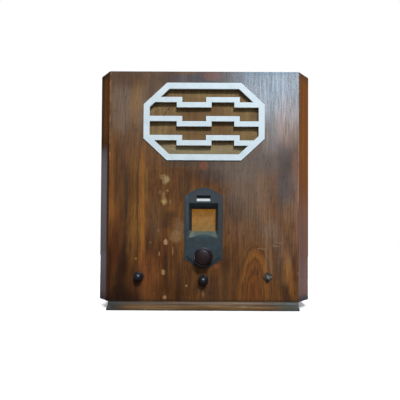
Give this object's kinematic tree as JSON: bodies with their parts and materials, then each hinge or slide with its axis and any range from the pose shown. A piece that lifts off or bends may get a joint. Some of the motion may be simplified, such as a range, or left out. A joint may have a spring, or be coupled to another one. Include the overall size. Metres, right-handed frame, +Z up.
{
  "type": "table radio",
  "caption": "Upright wooden table radio with canted corners, an eight-sided stepped metal grille over cloth, a dial escutcheon with tuning knob, small control knobs and a coved plinth.",
  "frame": {"origin": "on the surface that the set stands on, midway between the sides and between the front face and the back edges of the cabinet", "axes": "+Z up, -Y out of the front, +X to the right seen from the front"},
  "size_m": [0.4, 0.2887, 0.4415],
  "materials": {
    "front_veneer": "worn figured walnut veneer, semi-gloss polish",
    "cant_veneer": "dark stained veneer, satin polish",
    "side_veneer": "dark walnut veneer, satin polish",
    "top_veneer": "dark walnut veneer, satin polish",
    "plywood": "bare plywood",
    "softwood": "bare softwood",
    "dark_moulding": "near-black stained moulding, semi-gloss",
    "dark_runner": "dark stained softwood",
    "hardboard": "pressed brown fibreboard",
    "screw_steel": "dull plated steel",
    "silver_paint": "satin silver paint",
    "grille_cloth": "woven brown and gold grille cloth",
    "black_enamel": "black enamel",
    "chamois": "soft chamois ring",
    "phenolic": "brown phenolic board",
    "cone_paper": "dark pressed paper",
    "copper": "fine copper winding",
    "plated_steel": "cadmium-like dull plate",
    "coil_wrap": "waxed coil wrapping",
    "core_steel": "black varnished core and coil",
    "chassis_plate": "dull plated sheet steel",
    "slate_enamel": "slate blue-black semi-matt finish",
    "brass": "plain brass",
    "window_pane": "clear amber celluloid pane",
    "white_card": "white card",
    "vane_aluminium": "plain aluminium sheet",
    "amber_celluloid": "aged amber celluloid with fine graduations",
    "lamp_glass": "small clear lamp",
    "spindle_steel": "bare tarnished steel",
    "brown_bakelite": "dark mahogany moulding, glossy",
    "black_bakelite": "black moulding, high gloss",
    "control_can": "plated control housing",
    "black_moulding": "black phenolic moulding",
    "valve_glass": "smoked valve glass",
    "can_aluminium": "spun aluminium can",
    "brown_phenolic": "brown phenolic strip",
    "grommet_rubber": "black rubber",
    "waxed_card": "waxed card tubes and block"
  },
  "bodies": {
    "cabinet": {"front_panel": "front_veneer", "left_cant": "cant_veneer", "right_cant": "cant_veneer", "left_side": "side_veneer", "right_side": "side_veneer", "top_panel": "top_veneer", "bottom_board": "plywood", "battens_and_blocks": "softwood", "plinth_moulding": "dark_moulding", "plinth_runners": "dark_runner", "rear_cover": "hardboard", "rear_cover_screws": "screw_steel", "grille_fret": "silver_paint", "grille_cloth": "grille_cloth", "speaker_baffle": "plywood", "baffle_screws": "screw_steel", "speaker_basket": "black_enamel", "speaker_surround": "chamois", "speaker_spider": "phenolic", "magnet_pot": "black_enamel", "field_coil": "coil_wrap", "output_transformer": "core_steel", "chassis_deck": "chassis_plate", "chassis_front": "chassis_plate", "chassis_back": "chassis_plate", "chassis_bolts": "screw_steel", "dial_escutcheon": "slate_enamel", "escutcheon_nuts": "brass", "dial_window": "window_pane", "window_marker": "white_card", "tuning_bush": "brass", "control_nuts": "plated_steel", "gang_frame": "plated_steel", "gang_stators": "vane_aluminium", "gang_insulators": "phenolic", "dial_lamp_holder": "plated_steel", "dial_lamp": "lamp_glass", "volume_control": "control_can", "wave_switch": "phenolic", "tone_control": "control_can", "mains_transformer": "core_steel", "valve_holders": "black_moulding", "valve_bases": "black_moulding", "valve_bulbs": "valve_glass", "coil_cans": "can_aluminium", "socket_strips": "brown_phenolic", "mains_grommet": "grommet_rubber", "chassis_parts": "waxed_card"},
    "tuning_gang": {"gang_rotor": "vane_aluminium", "dial_disc": "vane_aluminium", "dial_scale": "amber_celluloid"},
    "tuning_control": {"tuning_spindle": "spindle_steel", "tuning_knob": "brown_bakelite"},
    "volume_spindle_and_knob": {"volume_spindle": "spindle_steel", "volume_knob": "black_bakelite"},
    "wave_spindle_and_knob": {"wave_spindle": "spindle_steel", "wave_knob": "black_bakelite"},
    "tone_spindle_bare": {"tone_spindle": "spindle_steel"},
    "moving_cone": {"speaker_cone": "cone_paper", "voice_coil": "copper"}
  },
  "joints": [
    {"name": "gang_turn", "type": "hinge", "parent": "cabinet", "child": "tuning_gang", "pos_m": [-0.032, 0, 0.1603], "axis": [0, -1, 0], "range_deg": [-90, 90]},
    {"name": "tuning_turn", "type": "hinge", "parent": "cabinet", "child": "tuning_control", "pos_m": [0, 0, 0.0973], "axis": [0, -1, 0], "range_deg": [-970, 970]},
    {"name": "volume_turn", "type": "hinge", "parent": "cabinet", "child": "volume_spindle_and_knob", "pos_m": [-0.119, 0, 0.0605], "axis": [0, -1, 0], "range_deg": [-140, 140]},
    {"name": "wave_change_turn", "type": "hinge", "parent": "cabinet", "child": "wave_spindle_and_knob", "pos_m": [0, 0, 0.0543], "axis": [0, -1, 0], "range_deg": [-30, 30]},
    {"name": "tone_turn", "type": "hinge", "parent": "cabinet", "child": "tone_spindle_bare", "pos_m": [0.119, 0, 0.0605], "axis": [0, -1, 0], "range_deg": [-140, 140]},
    {"name": "cone_travel", "type": "slide", "parent": "cabinet", "child": "moving_cone", "axis": [0, -1, 0], "range_m": [-0.001, 0.001], "stiffness_N_per_m": 2500, "deforming": ["speaker_surround", "speaker_spider"]}
  ],
  "couplings": [
    {"joint": "tuning_turn", "follows": "gang_turn", "ratio": -10.777}
  ]
}
